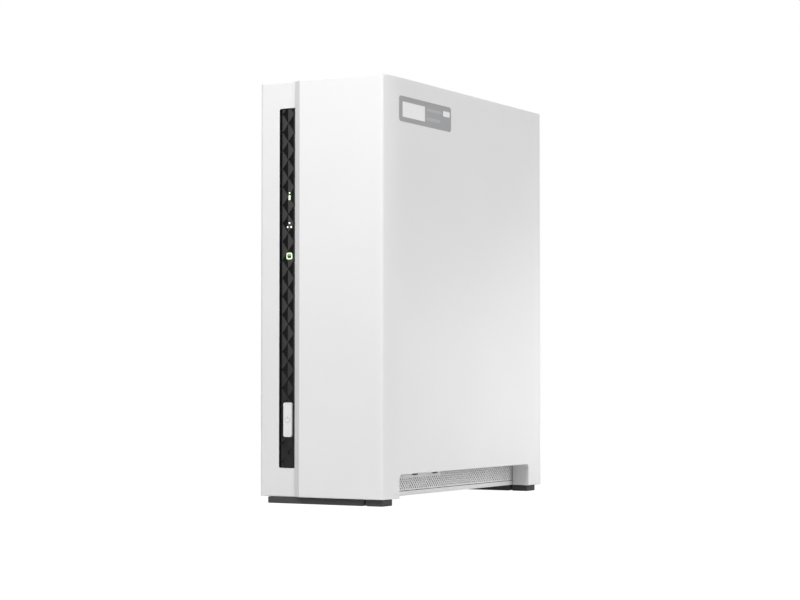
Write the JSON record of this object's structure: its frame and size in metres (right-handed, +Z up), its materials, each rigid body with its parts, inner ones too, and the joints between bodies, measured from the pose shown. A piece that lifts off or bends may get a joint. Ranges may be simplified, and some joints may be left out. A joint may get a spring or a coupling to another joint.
{
  "type": "network attached storage",
  "caption": "Upright white network storage box: plastic case with a slide-off side cover, black faceted light strip, rear fan and ports, and a hard drive inside.",
  "frame": {"origin": "on the ground, under the middle of the case's bounding box", "axes": "+Z up along the case's height, -Y towards the front with the light strip, +X towards the removable right cover"},
  "size_m": [0.0662, 0.1562, 0.1886],
  "materials": {
    "case_white": "fine satin moulded plastic",
    "button_white": "smooth satin plastic",
    "foot_rubber": "dark grey matt rubber",
    "strip_black": "glossy black faceted plastic",
    "light_guide": "frosted light guide, lit pale green",
    "fan_black": "black moulded plastic",
    "cable_black": "black insulation",
    "circuit_board": "green solder mask",
    "component_black": "black moulded package",
    "port_steel": "plated sheet steel",
    "heatsink_aluminium": "extruded aluminium",
    "screw_steel": "plated steel",
    "bracket_steel": "galvanised sheet steel",
    "drive_cast_aluminium": "cast aluminium",
    "drive_lid_steel": "pressed steel with a plain label",
    "platter_mirror": "polished disc"
  },
  "bodies": {
    "chassis": {"left_shell": "case_white", "base_frame": "case_white", "rear_panel": "case_white", "vent_grille_left": "case_white", "vent_grille_right": "case_white", "foot_front_left": "foot_rubber", "foot_rear_left": "foot_rubber", "indicator_strip": "strip_black", "status_light": "light_guide", "network_light": "light_guide", "disk_light": "light_guide", "fan_frame": "fan_black", "fan_lead": "cable_black", "front_lead": "cable_black", "mainboard": "circuit_board", "front_board": "circuit_board", "riser_board": "circuit_board", "processor": "component_black", "memory_chip_lower": "component_black", "memory_chip_upper": "component_black", "flash_chip": "component_black", "buzzer": "component_black", "power_switch": "component_black", "fan_header": "component_black", "power_inlet": "component_black", "reset_switch": "component_black", "riser_slot": "component_black", "sata_receptacle": "component_black", "network_jack": "port_steel", "usb_port_upper": "port_steel", "usb_port_lower": "port_steel", "clock_battery": "port_steel", "heatsink": "heatsink_aluminium", "front_board_screw_lower": "screw_steel", "front_board_screw_upper": "screw_steel", "board_screw_1": "screw_steel", "board_screw_2": "screw_steel", "board_screw_3": "screw_steel", "cover_screw_lower": "screw_steel", "cover_screw_upper": "screw_steel", "fan_screw_left_low": "screw_steel", "fan_screw_left_high": "screw_steel", "fan_screw_right_low": "screw_steel", "fan_screw_right_high": "screw_steel"},
    "cover": {"right_cover": "case_white", "foot_front_right": "foot_rubber", "foot_rear_right": "foot_rubber"},
    "fan_wheel": {"fan_rotor": "fan_black"},
    "power_key": {"power_button": "button_white"},
    "reset_key": {"reset_button": "component_black"},
    "drive_tray": {"drive_bracket": "bracket_steel", "drive_case": "drive_cast_aluminium", "drive_lid": "drive_lid_steel", "drive_board": "circuit_board", "drive_screw_front_lower": "screw_steel", "drive_screw_front_upper": "screw_steel", "drive_screw_rear_lower": "screw_steel", "drive_screw_rear_upper": "screw_steel"},
    "platters": {"platter_stack": "platter_mirror"},
    "actuator": {"head_arm": "drive_cast_aluminium"}
  },
  "joints": [
    {"name": "cover_slide", "type": "slide", "parent": "chassis", "child": "cover", "axis": [0, -1, 0], "range_m": [0, 0.165]},
    {"name": "power_key_travel", "type": "slide", "parent": "chassis", "child": "power_key", "axis": [0, 1, 0], "range_m": [0, 0.0008], "stiffness_N_per_m": 600, "springref_m": -0.001},
    {"name": "reset_key_travel", "type": "slide", "parent": "chassis", "child": "reset_key", "axis": [0, -1, 0], "range_m": [0, 0.0005], "stiffness_N_per_m": 600, "springref_m": -0.001},
    {"name": "fan_spin", "type": "hinge", "parent": "chassis", "child": "fan_wheel", "pos_m": [0.002, 0.0548, 0.15], "axis": [0, 1, 0], "continuous": true},
    {"name": "tray_lift", "type": "slide", "parent": "chassis", "child": "drive_tray", "axis": [0, 0, 1], "range_m": [0, 0.007]},
    {"name": "disc_spin", "type": "hinge", "parent": "drive_tray", "child": "platters", "pos_m": [0.0051, -0.0152, 0.126], "axis": [1, 0, 0], "continuous": true},
    {"name": "arm_swing", "type": "hinge", "parent": "drive_tray", "child": "actuator", "pos_m": [0.0051, 0.009, 0.074], "axis": [1, 0, 0], "range_deg": [0, 36]}
  ]
}
